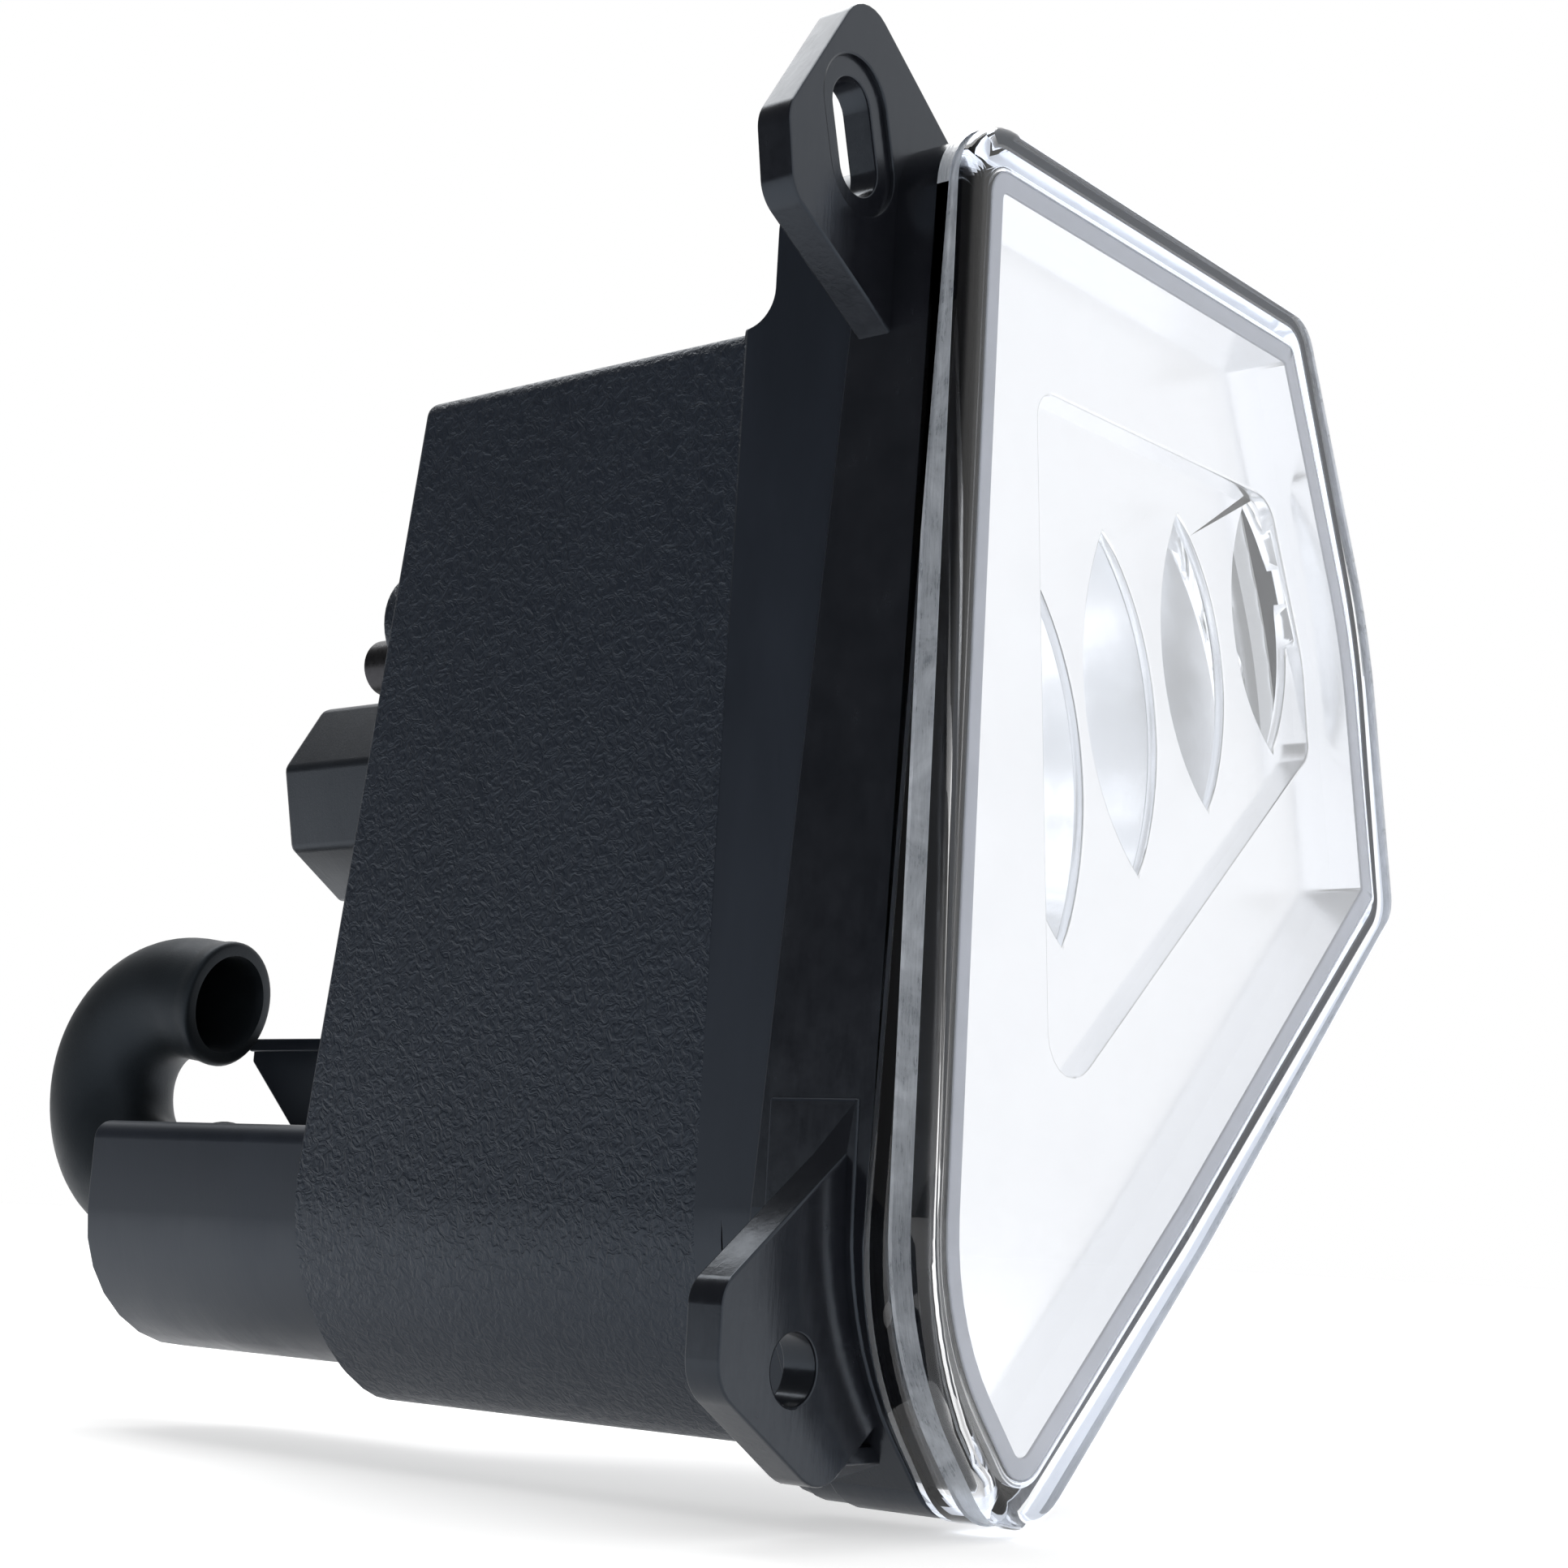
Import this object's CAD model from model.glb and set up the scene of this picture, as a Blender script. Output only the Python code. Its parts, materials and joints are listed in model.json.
import json
import math

import bmesh
import bpy
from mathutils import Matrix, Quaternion, Vector
from mathutils.bvhtree import BVHTree

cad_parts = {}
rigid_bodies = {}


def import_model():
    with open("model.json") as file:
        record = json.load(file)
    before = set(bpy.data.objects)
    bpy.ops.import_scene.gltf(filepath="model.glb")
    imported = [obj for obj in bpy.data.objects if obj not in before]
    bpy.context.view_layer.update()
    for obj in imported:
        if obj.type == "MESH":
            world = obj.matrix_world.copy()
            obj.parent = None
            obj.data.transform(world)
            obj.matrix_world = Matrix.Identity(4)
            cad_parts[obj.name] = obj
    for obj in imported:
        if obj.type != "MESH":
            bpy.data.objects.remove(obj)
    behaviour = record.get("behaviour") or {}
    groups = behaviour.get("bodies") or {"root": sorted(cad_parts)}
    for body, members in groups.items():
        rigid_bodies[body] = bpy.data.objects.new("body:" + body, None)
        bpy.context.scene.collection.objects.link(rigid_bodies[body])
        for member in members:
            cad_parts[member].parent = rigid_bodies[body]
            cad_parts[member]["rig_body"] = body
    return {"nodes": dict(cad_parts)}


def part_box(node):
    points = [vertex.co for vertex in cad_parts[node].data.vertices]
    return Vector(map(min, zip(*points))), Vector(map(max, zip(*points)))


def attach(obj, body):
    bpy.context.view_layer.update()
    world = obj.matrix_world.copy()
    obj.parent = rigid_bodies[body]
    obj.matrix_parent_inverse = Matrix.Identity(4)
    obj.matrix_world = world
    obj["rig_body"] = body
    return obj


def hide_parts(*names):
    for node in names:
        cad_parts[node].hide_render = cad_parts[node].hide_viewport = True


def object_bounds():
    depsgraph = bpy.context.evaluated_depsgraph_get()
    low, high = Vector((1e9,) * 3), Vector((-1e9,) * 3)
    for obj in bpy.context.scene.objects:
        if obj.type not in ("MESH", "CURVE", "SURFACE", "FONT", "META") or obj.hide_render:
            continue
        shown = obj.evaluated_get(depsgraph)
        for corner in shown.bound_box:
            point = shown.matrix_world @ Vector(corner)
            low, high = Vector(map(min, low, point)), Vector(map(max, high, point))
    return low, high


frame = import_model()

# A fog light: grained black housing, clear lens, bright reflector, bulb, breather elbow.
# Metres. The frame is the CAD's: +Z up, lens facing -Y, origin at the lower mounting hole.

MM = 0.001
CAD_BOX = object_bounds()

NODES = frame["nodes"]
BODY_OF = {node: obj["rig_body"] for node, obj in NODES.items()}

# Where the lens sits, from the CAD.
LENS_LOW, LENS_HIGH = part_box("lens")
LENS_FRONT = LENS_LOW.y
TONGUE_END = LENS_HIGH.y

# Corners of the lens outline as (x, z, corner radius) in mm, clockwise seen from the front.
LENS_CORNERS = ((6.5, 129.9, 8), (80.3, 129.9, 6), (99, 93, 70), (107, 57.5, 5),
                (61.5, 13.5, 80), (25.5, -19.1, 9), (6.5, 2.5, 34))

# The plane where the lens's skirt meets the housing's rim.
RIM_Y, RIM_Z, RIM_LEAN = -3 * MM, 28 * MM, math.tan(math.radians(2.3))

# The weld along the skirt is a frosted strip between these two heights, in mm.
FROST_FRONT, FROST_BACK = -8.3, -5.6

# How far behind the bezel's foremost edge the grey paint of its border reaches.
BORDER_DEPTH = 0.5 * MM

# Right of this, the lens's edges are seen through its thickness and look milky.
LIT_EDGE_X = 26 * MM

# How deep the bright lining beside the mirror reaches.
LINING_FRONT, LINING_BACK = 3 * MM, 13 * MM

# The elbow's mouth is turned this many degrees towards +X, at the end of a short straight.
MOUTH_TURN, MOUTH_LENGTH = 10, 5 * MM

# The grain of the box begins behind this line.
GRAIN_Y = 20.3 * MM

# Just behind the box's rear wall, where the smooth tower comes out of it.
REAR_Y = 83.1 * MM


# Black plastic reflects the studio a little cooler than white.
COOL_SHINE = (0.72, 0.84, 1, 1)


# ---------------------------------------------------------------- camera, floor and light

def add_camera():
    """The camera stands low, to the left of the lens, and looks slightly up."""
    azimuth, elevation, roll = (math.radians(a) for a in (-50.77, -9.857, 3.161))
    back = Vector((math.sin(azimuth) * math.cos(elevation),
                   -math.cos(azimuth) * math.cos(elevation),
                   math.sin(elevation)))
    camera = bpy.data.objects.new("camera", bpy.data.cameras.new("camera"))
    camera.data.sensor_width = 36
    camera.data.lens = 59.63
    camera.data.clip_start = 0.01
    camera.location = Vector((-200.6, -158.5, 12.6)) * MM
    camera.rotation_mode = "QUATERNION"
    camera.rotation_quaternion = (-back).to_track_quat("-Z", "Y") @ Quaternion((0, 0, 1), roll)
    bpy.context.scene.collection.objects.link(camera)
    bpy.context.scene.camera = camera


def add_floor():
    """A pale floor under the lamp's lowest point."""
    mesh = bpy.data.meshes.new("floor")
    half = 6.0
    low = CAD_BOX[0].z - 1 * MM
    mesh.from_pydata([(-half, -half, low), (half, -half, low), (half, half, low),
                      (-half, half, low)], [], [(0, 1, 2, 3)])
    floor = bpy.data.objects.new("floor", mesh)
    bpy.context.scene.collection.objects.link(floor)
    look = Look("floor_white", **{"Base Color": (0.82, 0.82, 0.82, 1), "Roughness": 0.7,
                                  "Specular IOR Level": 0.1,
                                  "Emission Color": (1, 1, 1, 1), "Emission Strength": 0.5})
    mesh.materials.append(look.material)


def add_world():
    """A bright white studio, dimmer on the side away from the lens."""
    world = bpy.data.worlds.new("studio")
    bpy.context.scene.world = world
    world.use_nodes = True
    tree = world.node_tree
    background = tree.nodes["Background"]
    place = tree.nodes.new("ShaderNodeTexCoord")
    side = tree.nodes.new("ShaderNodeVectorMath")
    side.operation = "DOT_PRODUCT"
    side.inputs[1].default_value = Vector((-0.86, 0.45, 0.12)).normalized()
    tree.links.new(place.outputs["Generated"], side.inputs[0])
    ramp = tree.nodes.new("ShaderNodeMapRange")
    ramp.interpolation_type = "SMOOTHSTEP"
    for name, value in (("From Min", -0.2), ("From Max", 0.7), ("To Min", 1.08), ("To Max", 0.13)):
        ramp.inputs[name].default_value = value
    tree.links.new(side.outputs["Value"], ramp.inputs["Value"])
    rays = tree.nodes.new("ShaderNodeLightPath")
    seen = tree.nodes.new("ShaderNodeMix")
    seen.inputs["B"].default_value = 1.0
    tree.links.new(rays.outputs["Is Camera Ray"], seen.inputs["Factor"])
    tree.links.new(ramp.outputs["Result"], seen.inputs["A"])
    tree.links.new(seen.outputs["Result"], background.inputs["Strength"])
    background.inputs["Color"].default_value = (1, 1, 1, 1)


def add_light(name, place, target, size, watts):
    """A square soft box at place, facing target."""
    data = bpy.data.lights.new(name, "AREA")
    data.size = size
    data.energy = watts
    light = bpy.data.objects.new(name, data)
    light.location = place
    light.rotation_mode = "QUATERNION"
    light.rotation_quaternion = (Vector(target) - Vector(place)).to_track_quat("-Z", "Y")
    bpy.context.scene.collection.objects.link(light)


# ---------------------------------------------------------------- materials

class Look:
    """A procedural material; its short methods add nodes and return output sockets."""

    def __init__(self, name, **values):
        self.material = bpy.data.materials.new(name)
        self.material.use_nodes = True
        self.tree = self.material.node_tree
        self.shader = self.tree.nodes["Principled BSDF"]
        for socket, value in values.items():
            self.shader.inputs[socket].default_value = value
        self.place = self.add("ShaderNodeTexCoord").outputs["Object"]

    def add(self, kind, **values):
        node = self.tree.nodes.new(kind)
        for name, value in values.items():
            setattr(node, name, value)
        return node

    def join(self, source, socket):
        self.tree.links.new(source, socket)

    def stretched(self, scale):
        """Object coordinates scaled by a vector, so that a pattern runs along one axis."""
        mapping = self.add("ShaderNodeMapping")
        mapping.inputs["Scale"].default_value = scale
        self.join(self.place, mapping.inputs["Vector"])
        return mapping.outputs["Vector"]

    def noise(self, scale, detail=3.0, rough=0.5, distortion=0.0, place=None):
        node = self.add("ShaderNodeTexNoise")
        node.inputs["Scale"].default_value = scale
        node.inputs["Detail"].default_value = detail
        node.inputs["Roughness"].default_value = rough
        node.inputs["Distortion"].default_value = distortion
        self.join(place or self.place, node.inputs["Vector"])
        return node.outputs["Fac"]

    def cells(self, scale, feature="F1", place=None):
        node = self.add("ShaderNodeTexVoronoi", feature=feature)
        node.inputs["Scale"].default_value = scale
        self.join(place or self.place, node.inputs["Vector"])
        return node.outputs["Distance"]

    def ranged(self, source, low, high, to_low, to_high):
        node = self.add("ShaderNodeMapRange")
        for name, value in (("From Min", low), ("From Max", high),
                            ("To Min", to_low), ("To Max", to_high)):
            node.inputs[name].default_value = value
        self.join(source, node.inputs["Value"])
        return node.outputs["Result"]

    def sum_of(self, first, second, share):
        """first + share * second."""
        node = self.add("ShaderNodeMath", operation="MULTIPLY_ADD")
        self.join(second, node.inputs[0])
        node.inputs[1].default_value = share
        self.join(first, node.inputs[2])
        return node.outputs["Value"]

    def product(self, first, second):
        node = self.add("ShaderNodeMath", operation="MULTIPLY")
        self.join(first, node.inputs[0])
        self.join(second, node.inputs[1])
        return node.outputs["Value"]

    def colours(self, source, stops):
        """A colour ramp from (place, (r, g, b)) stops, set as the base colour."""
        ramp = self.add("ShaderNodeValToRGB").color_ramp
        node = self.tree.nodes[-1]
        for index, (at, colour) in enumerate(stops):
            stop = ramp.elements[index] if index < 2 else ramp.elements.new(at)
            stop.position = at
            stop.color = (*colour, 1)
        self.join(source, node.inputs["Fac"])
        self.join(node.outputs["Color"], self.shader.inputs["Base Color"])
        return self

    def roughness(self, source):
        self.join(source, self.shader.inputs["Roughness"])
        return self

    def bump(self, height, depth, strength=1.0):
        """Bumps of the given depth in metres."""
        node = self.add("ShaderNodeBump")
        node.inputs["Distance"].default_value = depth
        node.inputs["Strength"].default_value = strength
        self.join(height, node.inputs["Height"])
        self.join(node.outputs["Normal"], self.shader.inputs["Normal"])
        return self

    def lets_light_in(self):
        """Rays from lamps pass straight through, as they do through thin clear plastic."""
        clear = self.add("ShaderNodeBsdfTransparent")
        mix = self.add("ShaderNodeMixShader")
        rays = self.add("ShaderNodeLightPath")
        self.join(rays.outputs["Is Shadow Ray"], mix.inputs["Fac"])
        self.join(self.shader.outputs["BSDF"], mix.inputs[1])
        self.join(clear.outputs["BSDF"], mix.inputs[2])
        self.join(mix.outputs["Shader"], self.tree.nodes["Material Output"].inputs["Surface"])
        return self


def grained_plastic():
    """Black moulding with a leather-like spark grain, about a millimetre across."""
    look = Look("plastic_grained", **{"Specular IOR Level": 0.5, "Specular Tint": COOL_SHINE})
    wrinkle = look.noise(780, 3, 0.55, 1.2)
    ridge = look.cells(1050, "DISTANCE_TO_EDGE", look.stretched((1, 1, 0.8)))
    fine = look.noise(4200, 2, 0.6)
    plateau = look.ranged(wrinkle, 0.36, 0.62, 0, 1)
    height = look.sum_of(look.sum_of(plateau, ridge, 0.5), fine, 0.18)
    patches = look.noise(45, 3, 0.6)
    look.colours(patches, ((0.3, (0.006, 0.0085, 0.0145)), (0.75, (0.009, 0.012, 0.019))))
    look.roughness(look.ranged(look.sum_of(plateau, patches, 0.6), 0, 1.5, 0.5, 0.36))
    return look.bump(height, 0.075 * MM).material


def satin_plastic(name="plastic_satin", colour=(0.006, 0.0078, 0.0125), rough=0.36, depth=0.006):
    """Smooth black moulding with faint flow marks, dust-fine texture and a few scuffs."""
    look = Look(name, **{"Specular IOR Level": 0.5, "Specular Tint": COOL_SHINE})
    fine = look.noise(3800, 3, 0.6)
    flow = look.noise(90, 4, 0.6, 0.6, look.stretched((1, 1, 0.25)))
    scuff = look.noise(260, 5, 0.75, 0, look.stretched((1, 6, 0.6)))
    tint = tuple(1.5 * c for c in colour)
    look.colours(flow, ((0.3, colour), (0.8, tint)))
    look.roughness(look.ranged(look.sum_of(flow, scuff, 0.5), 0.45, 1.05, rough - 0.06, rough + 0.1))
    return look.bump(look.sum_of(fine, scuff, 1.2), depth * MM).material


def gloss_plastic():
    """Glossy black of the ears, with fine drag lines and small nicks."""
    look = Look("plastic_gloss", **{"Specular IOR Level": 0.5, "Specular Tint": COOL_SHINE})
    lines = look.noise(900, 4, 0.65, 0.3, look.stretched((1, 1, 0.16)))
    marks = look.noise(160, 5, 0.75)
    look.colours(marks, ((0.35, (0.005, 0.0055, 0.0075)), (0.8, (0.01, 0.0105, 0.0135))))
    look.roughness(look.ranged(look.sum_of(marks, lines, 0.6), 0.5, 1.1, 0.13, 0.3))
    return look.bump(look.sum_of(lines, marks, 0.5), 0.02 * MM).material


def soft_rubber(name="rubber_black", colour=(0.006, 0.0078, 0.0095), rough=0.5):
    """Matte rubber with a soft sheen, a fine bloom and mould texture."""
    look = Look(name, **{"Specular IOR Level": 0.3, "Specular Tint": COOL_SHINE,
                         "Sheen Weight": 0.02, "Sheen Roughness": 0.5})
    bloom = look.noise(120, 4, 0.6, 0.4)
    pores = look.noise(3000, 3, 0.6)
    look.colours(bloom, ((0.3, colour), (0.8, tuple(1.7 * c for c in colour))))
    look.roughness(look.ranged(bloom, 0.3, 0.75, rough - 0.07, rough + 0.1))
    return look.bump(look.sum_of(pores, bloom, 1.5), 0.02 * MM).material


def clear_plastic():
    """Clear polycarbonate, faintly wavy, with a few dust specks."""
    look = Look("lens_polycarbonate", **{"Base Color": (0.985, 0.99, 1, 1), "IOR": 1.5,
                                         "Roughness": 0.0, "Transmission Weight": 1.0})
    wave = look.noise(38, 2, 0.4)
    look.bump(wave, 0.012 * MM, 0.5)
    return look.lets_light_in().material


def frosted_plastic():
    """The welded strip of the lens: milky plastic with dragged marks along it."""
    look = Look("lens_frosted", **{"IOR": 1.5, "Transmission Weight": 0.35})
    drag = look.noise(900, 5, 0.7, 0.4, look.stretched((1, 4, 0.4)))
    smear = look.noise(130, 4, 0.65, 1.0)
    look.colours(look.sum_of(smear, drag, 0.5), ((0.45, (0.2, 0.225, 0.26)),
                                                 (0.95, (0.62, 0.66, 0.72))))
    look.roughness(look.ranged(look.sum_of(drag, smear, 0.9), 0.6, 1.3, 0.18, 0.5))
    return look.bump(look.sum_of(drag, smear, 1.4), 0.1 * MM).material


def lit_edge():
    """The thick far edges of the lens, which light up with what enters its front."""
    look = Look("lens_lit_edge", **{"IOR": 1.5, "Transmission Weight": 0.4,
                                    "Emission Color": (0.86, 0.91, 1, 1),
                                    "Emission Strength": 0.42})
    streak = look.noise(240, 3, 0.6, 0.2)
    look.colours(streak, ((0.3, (0.78, 0.82, 0.9)), (0.75, (0.9, 0.93, 0.98))))
    look.roughness(look.ranged(streak, 0.3, 0.75, 0.08, 0.25))
    return look.bump(streak, 0.02 * MM).material


def bright_metal(name, colour=(0.9, 0.91, 0.93), rough=0.07, cloud=0.05, depth=0.01, fill=0.0):
    """Metallised plastic; fill stands for light passed between mirrors too often to trace."""
    look = Look(name, **{"Metallic": 1.0, "Emission Color": (0.93, 0.96, 1, 1),
                         "Emission Strength": fill})
    haze = look.noise(60, 4, 0.6)
    ripple = look.noise(420, 3, 0.5)
    look.colours(haze, ((0.3, tuple(0.96 * c for c in colour)), (0.75, colour)))
    look.roughness(look.ranged(haze, 0.3, 0.75, rough, rough + cloud))
    return look.bump(ripple, depth * MM).material


def turned_steel(name, colour, rough=0.3):
    """Steel with fine marks across the pin or clip, and slight colour variation."""
    look = Look(name, **{"Metallic": 1.0})
    marks = look.noise(1400, 4, 0.7, 0, look.stretched((0.1, 1, 1)))
    stain = look.noise(300, 3, 0.6)
    look.colours(stain, ((0.3, tuple(0.8 * c for c in colour)), (0.75, colour)))
    look.roughness(look.ranged(marks, 0.3, 0.75, rough - 0.08, rough + 0.15))
    return look.bump(marks, 0.008 * MM).material


def plain_moulding(name, colour, rough=0.4):
    """Nylon or other unpainted moulding with light mottling."""
    look = Look(name, **{"Subsurface Weight": 0.08, "Subsurface Scale": 0.6 * MM})
    mottle = look.noise(200, 4, 0.6)
    fine = look.noise(2600, 3, 0.6)
    look.colours(mottle, ((0.3, tuple(0.86 * c for c in colour)), (0.75, colour)))
    look.roughness(look.ranged(mottle, 0.3, 0.75, rough - 0.06, rough + 0.12))
    return look.bump(look.sum_of(fine, mottle, 1), 0.015 * MM).material


def quartz():
    look = Look("bulb_quartz", **{"Base Color": (0.98, 0.98, 1, 1), "IOR": 1.46,
                                  "Roughness": 0.02, "Transmission Weight": 1.0})
    look.bump(look.noise(220, 2, 0.4), 0.02 * MM, 0.6)
    return look.lets_light_in().material


def open_felt():
    """Open felt: fibres in every direction."""
    look = Look("vent_felt", **{"Sheen Weight": 0.4, "Roughness": 0.9})
    fibres = look.noise(2600, 5, 0.75, 2.0)
    look.colours(fibres, ((0.3, (0.32, 0.3, 0.26)), (0.7, (0.62, 0.6, 0.53))))
    return look.bump(fibres, 0.2 * MM).material


# ---------------------------------------------------------------- mesh helpers

def outline(corners, inset, steps=10):
    """Rounded outline, in metres, through corners of (x, z, radius), moved inward by inset mm."""
    count = len(corners)
    points = []
    for i, (x, z, radius) in enumerate(corners):
        here = Vector((x, z))
        to_before = (Vector(corners[i - 1][:2]) - here).normalized()
        to_after = (Vector(corners[(i + 1) % count][:2]) - here).normalized()
        half = to_before.angle(to_after) / 2
        inward = (to_before + to_after).normalized()
        here = here + inward * inset / math.sin(half)
        radius = max(radius - inset, 0.6)
        middle = here + inward * radius / math.sin(half)
        reach = radius / math.tan(half)
        start, end = here + to_before * reach - middle, here + to_after * reach - middle
        first = math.atan2(start.y, start.x)
        sweep = math.atan2(end.y, end.x) - first
        sweep = (sweep + math.pi) % (2 * math.pi) - math.pi
        for k in range(steps + 1):
            turn = first + sweep * k / steps
            point = middle + radius * Vector((math.cos(turn), math.sin(turn)))
            points.append((point.x * MM, point.y * MM))
    return points


def arc(start, end, middle_d, middle_y, radius, steps):
    """Section points (d, y) along a quarter round, angles in degrees."""
    angles = (math.radians(start + (end - start) * k / steps) for k in range(steps + 1))
    return [(middle_d + radius * math.cos(a), middle_y + radius * math.sin(a)) for a in angles]


def loft(rings, closed_ends=True, looped=False):
    """A bmesh skin over rings of equal length, capped at both ends or closed on itself."""
    bm = bmesh.new()
    made = [[bm.verts.new(p) for p in ring] for ring in rings]
    pairs = list(zip(made, made[1:])) + ([(made[-1], made[0])] if looped else [])
    for low, high in pairs:
        for i in range(len(low)):
            j = (i + 1) % len(low)
            bm.faces.new((low[i], low[j], high[j], high[i]))
    if closed_ends and not looped:
        bm.faces.new(list(reversed(made[0])))
        bm.faces.new(made[-1])
    bmesh.ops.recalc_face_normals(bm, faces=bm.faces)
    return bm


def sweep(path, ups, section):
    """Rings of a section (list of (u, v) at each path index) carried along a path."""
    rings = []
    for i, point in enumerate(path):
        ahead = (path[min(i + 1, len(path) - 1)] - path[max(i - 1, 0)]).normalized()
        side = ahead.cross(ups[i]).normalized()
        up = side.cross(ahead).normalized()
        rings.append([point + side * u + up * v for u, v in section(i)])
    return rings


def circle(radius, count, phase=0.0):
    turns = (2 * math.pi * k / count + phase for k in range(count))
    return [(radius * math.cos(t), radius * math.sin(t)) for t in turns]


def piece(name, bm, looks, node, replaced=(), smooth=32, weighted=True):
    """Puts a bmesh in the scene as a piece that rides with node's body and takes its slot."""
    mesh = bpy.data.meshes.new(name)
    bm.to_mesh(mesh)
    bm.free()
    for look in looks:
        mesh.materials.append(look)
    mesh.shade_smooth()
    mesh.set_sharp_from_angle(angle=math.radians(smooth))
    made = bpy.data.objects.new(name, mesh)
    bpy.context.scene.collection.objects.link(made)
    if weighted:
        even = made.modifiers.new("even_normals", "WEIGHTED_NORMAL")
        even.keep_sharp = True
    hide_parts(*replaced)
    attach(made, BODY_OF[node])
    return made


def cad_copy(node):
    """A clean bmesh of a CAD node: welded, with flat faces joined."""
    bm = bmesh.new()
    bm.from_mesh(NODES[node].data)
    bmesh.ops.remove_doubles(bm, verts=bm.verts, dist=0.002 * MM)
    bmesh.ops.dissolve_limit(bm, angle_limit=math.radians(0.3), verts=bm.verts, edges=bm.edges)
    return bm


def round_edges(bm, width, chosen=None, angle=35, segments=2):
    """Rounds the sharp outward edges that chosen accepts, width metres wide."""
    sharp = [e for e in bm.edges
             if e.is_manifold and e.calc_face_angle_signed(0) > math.radians(angle)
             and (chosen is None or chosen((e.verts[0].co + e.verts[1].co) / 2))]
    bmesh.ops.bevel(bm, geom=sharp, offset=width, offset_type="OFFSET", segments=segments,
                    profile=0.5, affect="EDGES", clamp_overlap=False, loop_slide=True)


def refined(node, look, width=0.25, angle=35, smooth=32):
    """The CAD node with its edges rounded, width in mm."""
    bm = cad_copy(node)
    if width:
        round_edges(bm, width * MM, angle=angle)
    return piece(node + "_part", bm, [look], node, [node], smooth)


# ---------------------------------------------------------------- the pieces

def build_housing():
    """The housing, grained behind its flange, with rounded edges."""
    bm = cad_copy("housing")

    def on_rear_edge(p):
        return 60 * MM < p.y < REAR_Y and (p.z > 24 * MM or p.x > 45 * MM or p.z < -7 * MM)

    round_edges(bm, 0.8 * MM, on_rear_edge, 40, 3)
    round_edges(bm, 0.3 * MM, lambda p: p.y < 40 * MM or p.y > REAR_Y, 40, 2)
    for y in (GRAIN_Y, REAR_Y):
        everything = bm.verts[:] + bm.edges[:] + bm.faces[:]
        bmesh.ops.bisect_plane(bm, geom=everything, plane_co=(0, y, 0), plane_no=(0, 1, 0))
    for face in bm.faces:
        middle = face.calc_center_median()
        ear = middle.x < 18 * MM and middle.y < 4.6 * MM
        grained = GRAIN_Y < middle.y < REAR_Y
        face.material_index = 2 if ear else (0 if grained else 1)
    piece("housing_shell", bm, [grained_plastic(), satin_plastic(), gloss_plastic()],
          "housing", ["housing"], 30)


def lens_rings():
    """The lens's section carried round its outline: front face, skirt, weld edge, tongue."""
    front = LENS_FRONT / MM
    edge = 1.7
    section = [(edge + 2.2, front)] + arc(-90, -180, edge, front + edge, edge, 8)
    section += [(0.0, FROST_FRONT), (0.25, FROST_FRONT + 0.25)]
    section += [(0.25, FROST_BACK - 0.25), (0.0, FROST_BACK)]
    section += [("rim", 0.35), ("rim_in", 0.0), ("rim_deep", 0.0)]
    section += [(2.3, TONGUE_END / MM - 0.3), (2.6, TONGUE_END / MM)]
    section += [(3.8, TONGUE_END / MM), (4.1, TONGUE_END / MM - 0.3), (4.1, front + 3.4)]
    section += arc(180, 270, 5.1, front + 3.4, 1.0, 5)[1:] + [(7.2, front + 2.4)]
    rings = []
    for d, y in section:
        inset = {"rim": 0.0, "rim_in": 0.3, "rim_deep": 2.2}.get(d, d)
        ring = []
        for x, z in outline(LENS_CORNERS, inset):
            rim = RIM_Y - (z - RIM_Z) * RIM_LEAN
            ring.append((x, rim - y * MM if isinstance(d, str) else y * MM, z))
        rings.append(ring)
    return rings


def build_lens():
    bm = loft(lens_rings())
    for face in bm.faces:
        middle = face.calc_center_median()
        outside = Vector(face.normal).dot(Vector((0, 1, 0)))
        frosted = FROST_FRONT * MM < middle.y < FROST_BACK * MM and abs(outside) < 0.8
        milky = middle.x > LIT_EDGE_X and abs(outside) < 0.93
        face.material_index = 2 if milky else 0
        if frosted and on_skirt(middle):
            face.material_index = 1
    looks = [clear_plastic(), frosted_plastic(), lit_edge()]
    piece("lens_cover", bm, looks, "lens", ["lens"], 35)


def on_skirt(point):
    """Whether a point lies on the lens's outer wall and not on its inner one."""
    edge = outline(LENS_CORNERS, 0)
    nearest = min((x - point.x) ** 2 + (z - point.z) ** 2 for x, z in edge_points(edge))
    return nearest < (1.2 * MM) ** 2


def edge_points(edge, step=1.5 * MM):
    """Points no further than step apart along a closed outline."""
    for a, b in zip(edge, edge[1:] + edge[:1]):
        start, end = Vector(a), Vector(b)
        count = math.ceil((end - start).length / step)
        for k in range(count):
            yield start.lerp(end, k / count)


def grey_paint():
    """The painted border round the bezel: cool grey, satin, faintly clouded."""
    look = Look("bezel_border", **{"Specular IOR Level": 0.4})
    haze = look.noise(150, 4, 0.6)
    look.colours(haze, ((0.3, (0.4, 0.43, 0.5)), (0.75, (0.47, 0.5, 0.58))))
    look.roughness(look.ranged(haze, 0.3, 0.75, 0.35, 0.5))
    return look.bump(look.noise(1800, 3, 0.6), 0.01 * MM).material


def build_bezel():
    """The bright bezel, with its outer border painted grey."""
    bm = cad_copy("bezel")
    round_edges(bm, 0.35 * MM)
    border_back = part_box("bezel")[0].y + BORDER_DEPTH
    for face in bm.faces:
        face.material_index = 1 if face.calc_center_median().y < border_back else 0
    bright = bright_metal("bezel_bright", rough=0.14, cloud=0.08, fill=0.03)
    piece("bezel_part", bm, [bright, grey_paint()], "bezel", ["bezel"])


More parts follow.
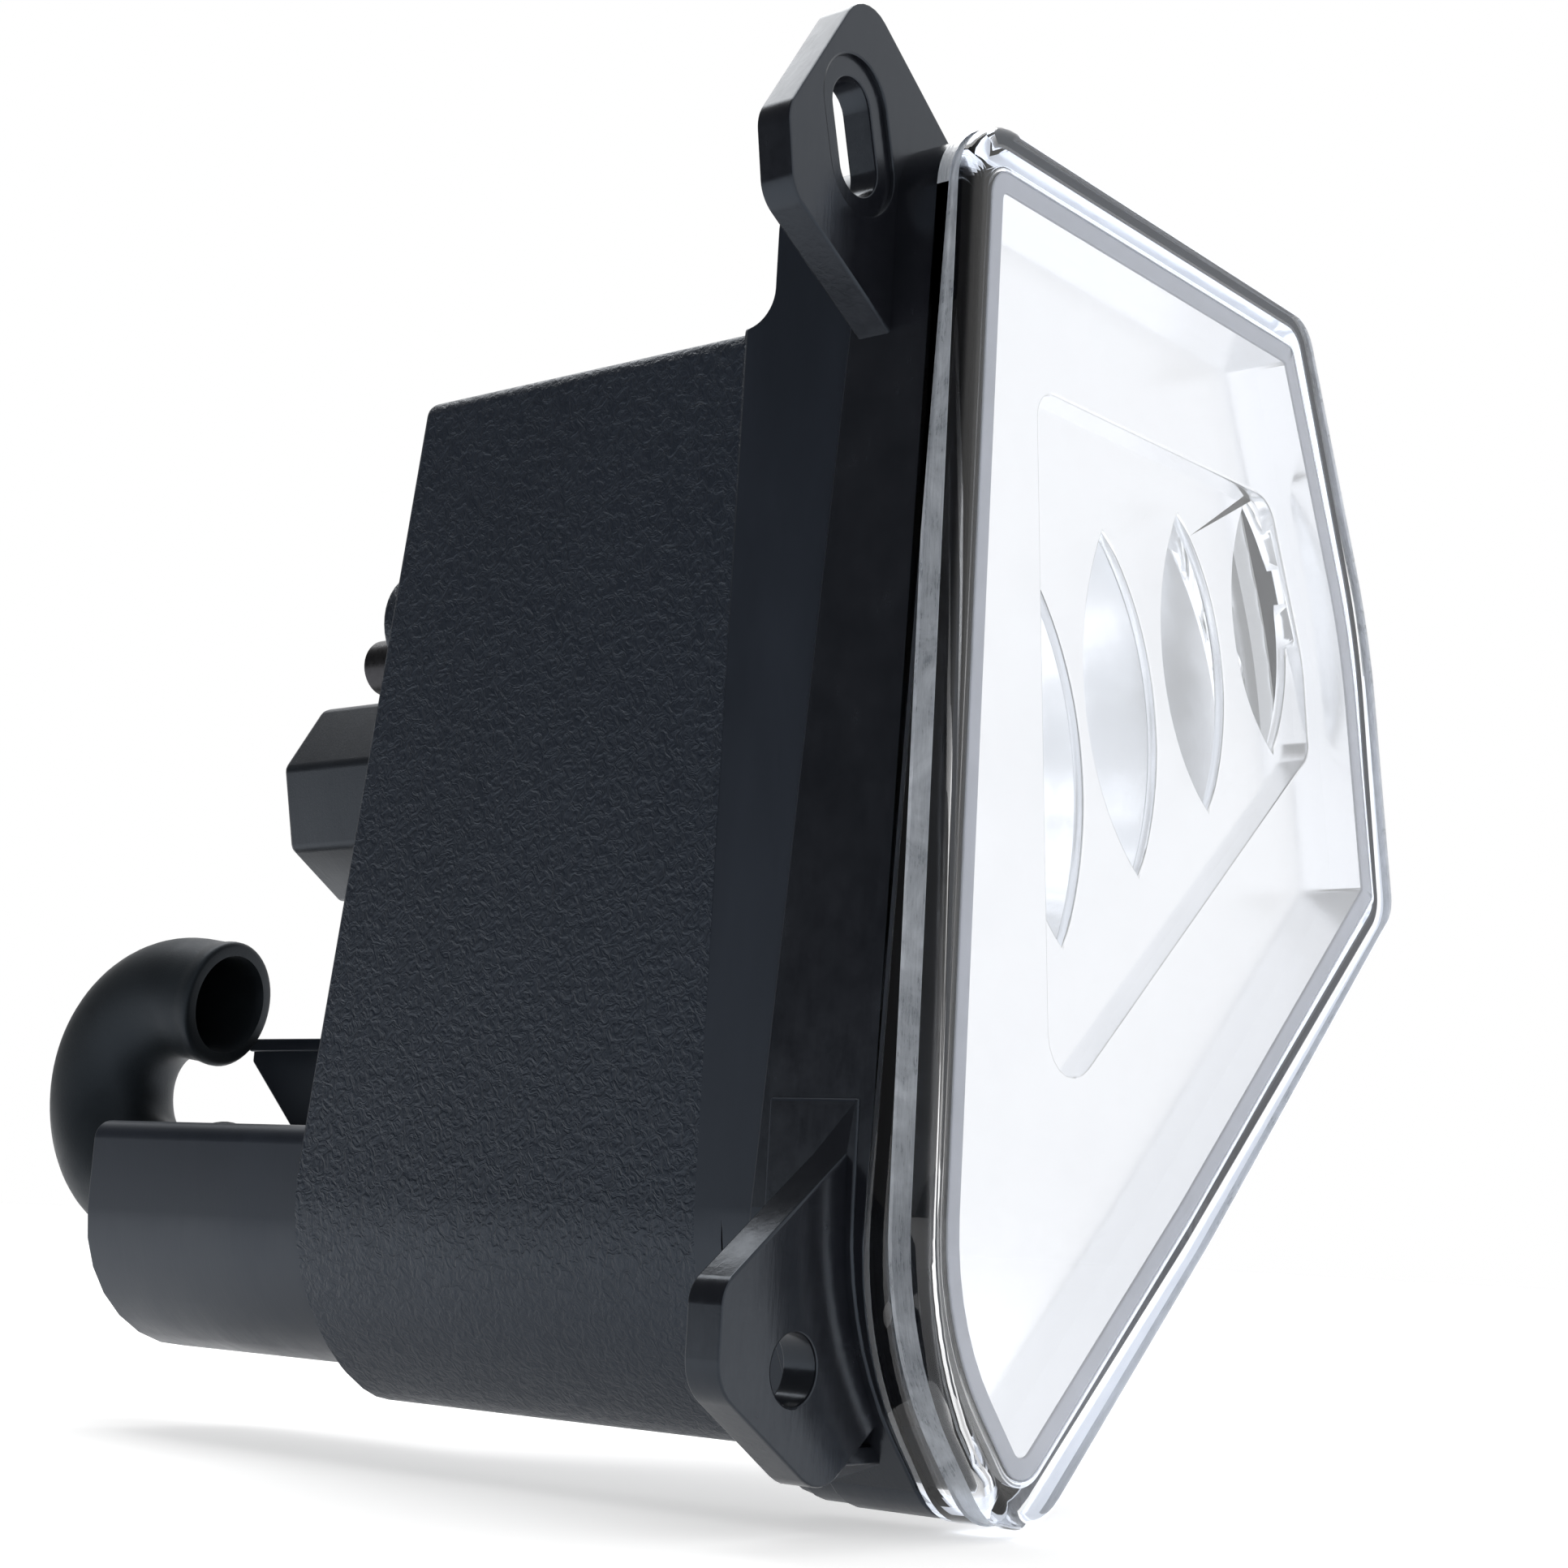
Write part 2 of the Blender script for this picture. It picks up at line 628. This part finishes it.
def tube_along(path, ups, outer, inner, count):
    """A closed tube: outer wall out, inner wall back; outer and inner give radii by index."""
    out = sweep(path, ups, lambda i: circle(outer(i), count))
    back = sweep(path, ups, lambda i: circle(inner(i), count))
    return loft(out + back[::-1], looped=True)


def elbow_path(start, bend, centre):
    """Points of the elbow's middle line: straight in, up, and back over with a slight turn."""
    runs = 12
    path = [start.lerp(Vector((centre.x, centre.y, start.z)), k / runs) for k in range(runs)]
    for k in range(25):
        turn = math.radians(90) * k / 24
        path.append(centre + bend * Vector((0, math.sin(turn), -math.cos(turn))))
    aside = math.radians(MOUTH_TURN)
    forward = Vector((math.sin(aside), -math.cos(aside), 0))
    over = path[-1] + bend * forward
    for k in range(1, 27):
        turn = math.radians(100) * k / 26
        path.append(over + bend * (Vector((0, 0, math.sin(turn))) - forward * math.cos(turn)))
    ahead = (path[-1] - path[-2]).normalized()
    return path + [path[-1] + ahead * MOUTH_LENGTH * k / 10 for k in range(1, 11)]


def finer_ends(path, parts=8):
    """The path with its first and last steps cut into parts, for a round lip."""
    fine = [path[0].lerp(path[1], k / parts) for k in range(parts)] + path[1:-1]
    return fine + [path[-2].lerp(path[-1], k / parts) for k in range(1, parts + 1)]


def build_elbow():
    """The rubber elbow: a bent tube with a rolled lip at each end."""
    low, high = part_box("breather_elbow")
    middle = (low.x + high.x) / 2
    radius = (high.x - low.x) / 2
    bend = 13 * MM
    centre = Vector((middle, high.y - bend - radius, low.z + radius + bend))
    start = Vector((middle, low.y, low.z + radius))
    path = finer_ends(elbow_path(start, bend, centre))
    length = [0.0]
    for a, b in zip(path, path[1:]):
        length.append(length[-1] + (b - a).length)
    lip, rounding, bore = 2.4 * MM, 0.8 * MM, 6.5 * MM

    def from_end(i):
        return min(length[i], length[-1] - length[i])

    def outer(i):
        bead = 0.3 * MM * max(0.0, 1 - (from_end(i) / lip) ** 2)
        gap = max(0.0, rounding - from_end(i))
        return radius - 0.3 * MM + bead - rounding + math.sqrt(rounding ** 2 - gap ** 2)

    def inner(i):
        return bore + 0.35 * MM * max(0.0, 1 - from_end(i) / (1.2 * MM))

    sideways = Vector((1, 0, 0))
    ups = [sideways.cross((path[min(i + 1, len(path) - 1)] - path[max(i - 1, 0)]).normalized())
           for i in range(len(path))]
    bm = tube_along(path, ups, outer, inner, 56)
    piece("breather_tube", bm, [soft_rubber()], "breather_elbow", ["breather_elbow"], 50, False)


def flute_reach(x, z):
    """How far the mirror may reach from the bulb's axis in direction (x, z), in mm."""
    walls = ((-1, 0, 18.8), (0, 1, 34.0), (0.824, 0.567, 41.5), (0.978, 0.207, 43.0),
             (0.724, -0.689, 37.5), (0, -1, 36.0))
    return min(gap / (x * a + z * b) for a, b, gap in walls if x * a + z * b > 0.05)


def build_flutes():
    """The mirror's pillows: rows of shallow flutes in front of the bowl and its flange."""
    low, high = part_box("bulb_base")
    axis_x, axis_z = (low.x + high.x) / 2 / MM, (low.z + high.z) / 2 / MM
    bowl_back, focus, hole, bowl_rim = 60, 5.5, 12.4, 35.2
    pitch_x, pitch_z, thick = 5.2, 8.5, 0.2
    radial, around = 72, 260
    bm = bmesh.new()
    front, back = [], []
    for j in range(radial + 1):
        rings = [], []
        for i in range(around):
            turn = 2 * math.pi * i / around
            x, z = math.cos(turn), math.sin(turn)
            r = hole + (flute_reach(x, z) - hole) * j / radial
            px, pz = axis_x + r * x, axis_z + r * z
            pillow = 0.5 * abs(math.sin(math.pi * px / pitch_x))
            pillow += 0.45 * abs(math.sin(math.pi * pz / pitch_z + 0.6))
            y = bowl_back - min(r, bowl_rim) ** 2 / (4 * focus) - thick
            rings[0].append(bm.verts.new(Vector((px, y - pillow, pz)) * MM))
            rings[1].append(bm.verts.new(Vector((px, y + 0.15, pz)) * MM))
        front.append(rings[0])
        back.append(rings[1])
    skins = front + back[::-1]
    for one, two in zip(skins, skins[1:] + skins[:1]):
        for i in range(around):
            k = (i + 1) % around
            bm.faces.new((one[i], one[k], two[k], two[i]))
    bmesh.ops.recalc_face_normals(bm, faces=bm.faces)
    piece("reflector_flutes", bm, [bright_metal("flute_mirror", rough=0.1, fill=0.25)], "reflector",
          smooth=45, weighted=False)


def build_lining():
    """A thin bright lining on the housing's inner wall, seen past the mirror's far edge."""
    shell = BVHTree.FromBMesh(cad_copy("housing"))
    low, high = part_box("bulb_base")
    axis = Vector(((low.x + high.x) / 2, 0, (low.z + high.z) / 2))
    rows, columns = 12, 90
    front, back = LINING_FRONT, LINING_BACK
    inner, outer = [], []
    for j in range(rows + 1):
        y = front + (back - front) * j / rows
        here = [], []
        for i in range(columns + 1):
            turn = math.radians(-38 + 82 * i / columns)
            ahead = Vector((math.cos(turn), 0, math.sin(turn)))
            wall = shell.ray_cast(Vector((axis.x, y, axis.z)), ahead)[0]
            rib = 0.3 * MM * abs(math.sin(i * math.pi / 6))
            here[0].append(wall - ahead * (0.5 * MM + rib))
            here[1].append(wall - ahead * 0.2 * MM)
        inner.append(here[0])
        outer.append(here[1])
    rings = [a + b[::-1] for a, b in zip(inner, outer)]
    piece("bezel_lining", loft(rings), [bright_metal("lining_bright", rough=0.15, fill=0.3)],
          "bezel", smooth=40, weighted=False)


def build_filament():
    """A tungsten coil between two posts."""
    low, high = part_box("filament")
    middle = (low + high) / 2
    front = low.y + 0.8 * MM
    wire = 0.13 * MM
    path = [Vector((low.x + 0.8 * MM, high.y - (high.y - front) * k / 6, middle.z))
            for k in range(6)]
    turns, per_turn = 11, 14
    for k in range(turns * per_turn + 1):
        turn = 2 * math.pi * k / per_turn
        along = low.x + 0.8 * MM + (high.x - low.x - 1.6 * MM) * k / (turns * per_turn)
        path.append(Vector((along, front + 0.6 * MM * math.cos(turn),
                            middle.z + 0.6 * MM * math.sin(turn))))
    path += [Vector((high.x - 0.8 * MM, front + (high.y - front) * k / 6, middle.z))
             for k in range(1, 7)]
    ups = [Vector((0.31, 0.23, 0.92)).normalized() for _ in path]
    bm = loft(sweep(path, ups, lambda i: circle(wire, 8)))
    look = turned_steel("tungsten", (0.6, 0.56, 0.5), 0.35)
    piece("filament_coil", bm, [look], "filament", ["filament"], 60, False)


def build_screw():
    """The aiming screw with a real thread on its shaft and a hexagon socket in its head."""
    bm = cad_copy("adjuster_screw")
    round_edges(bm, 0.3 * MM, lambda p: p.y > 80 * MM, 40)
    look = turned_steel("screw_black", (0.05, 0.05, 0.055), 0.32)
    piece("screw_body", bm, [look], "adjuster_screw", ["adjuster_screw"])
    low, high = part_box("adjuster_screw")
    axis_x, axis_z = (low.x + high.x) / 2, (low.z + high.z) / 2
    pitch, radius = 0.8 * MM, 2.5 * MM
    start, end = low.y + 0.6 * MM, low.y + 29 * MM
    per_turn = 20
    count = int((end - start) / pitch * per_turn)
    path, ups = [], []
    for k in range(count + 1):
        turn = 2 * math.pi * k / per_turn
        outward = Vector((math.cos(turn), 0, math.sin(turn)))
        path.append(Vector((axis_x, start + pitch * k / per_turn, axis_z)) + outward * radius)
        ups.append(outward)

    def ridge(i):
        fade = min(1.0, i / per_turn, (count - i) / per_turn) + 0.02
        return [(-0.26 * MM, -0.2 * MM), (0.0, 0.16 * MM * fade), (0.26 * MM, -0.2 * MM)]

    piece("screw_thread", loft(sweep(path, ups, ridge)), [look], "adjuster_screw", smooth=60,
          weighted=False)


def dress_nodes():
    """Every other node keeps its CAD shape, with its small edges rounded."""
    steel = turned_steel("pin_steel", (0.62, 0.63, 0.65))
    clip = turned_steel("clip_steel", (0.42, 0.43, 0.45), 0.36)
    refined("reflector", bright_metal("reflector_bright", rough=0.12, fill=0.25), 0)
    refined("bulb_shield", bright_metal("shield_plate", (0.72, 0.74, 0.77), 0.16), 0.15)
    refined("pivot_pin", steel, 0.2)
    refined("pin_clips", clip, 0.12)
    refined("screw_clip", clip, 0.12)
    refined("ball_socket", plain_moulding("nylon_white", (0.72, 0.72, 0.69)), 0.3)
    refined("ball_nut", plain_moulding("nylon_cream", (0.8, 0.77, 0.68)), 0.1)
    refined("lens_seal", soft_rubber("seal_bead", (0.014, 0.014, 0.015), 0.42), 0)
    refined("adjuster_seal", soft_rubber("screw_seal"), 0.15)
    refined("bulb_seal", soft_rubber("silicone_red", (0.3, 0.05, 0.03), 0.4), 0)
    refined("bulb_holder", satin_plastic("holder_black", (0.004, 0.005, 0.0072), 0.34, 0.02), 0.8)
    refined("bulb_base", satin_plastic("base_black", (0.009, 0.009, 0.0095), 0.45, 0.02), 0.3)
    refined("bulb_glass", quartz(), 0)
    refined("terminals", turned_steel("terminal_tin", (0.75, 0.66, 0.46), 0.25), 0.12)
    refined("vent_filter", open_felt(), 0.2)


add_camera()
bpy.context.scene.view_settings.view_transform = "Standard"
add_world()
add_floor()
add_light("overhead", (0.2, 0.35, 0.85), (0.05, 0.05, 0.06), 0.7, 5)
build_housing()
build_lens()
build_bezel()
build_elbow()
build_flutes()
build_lining()
build_filament()
build_screw()
dress_nodes()
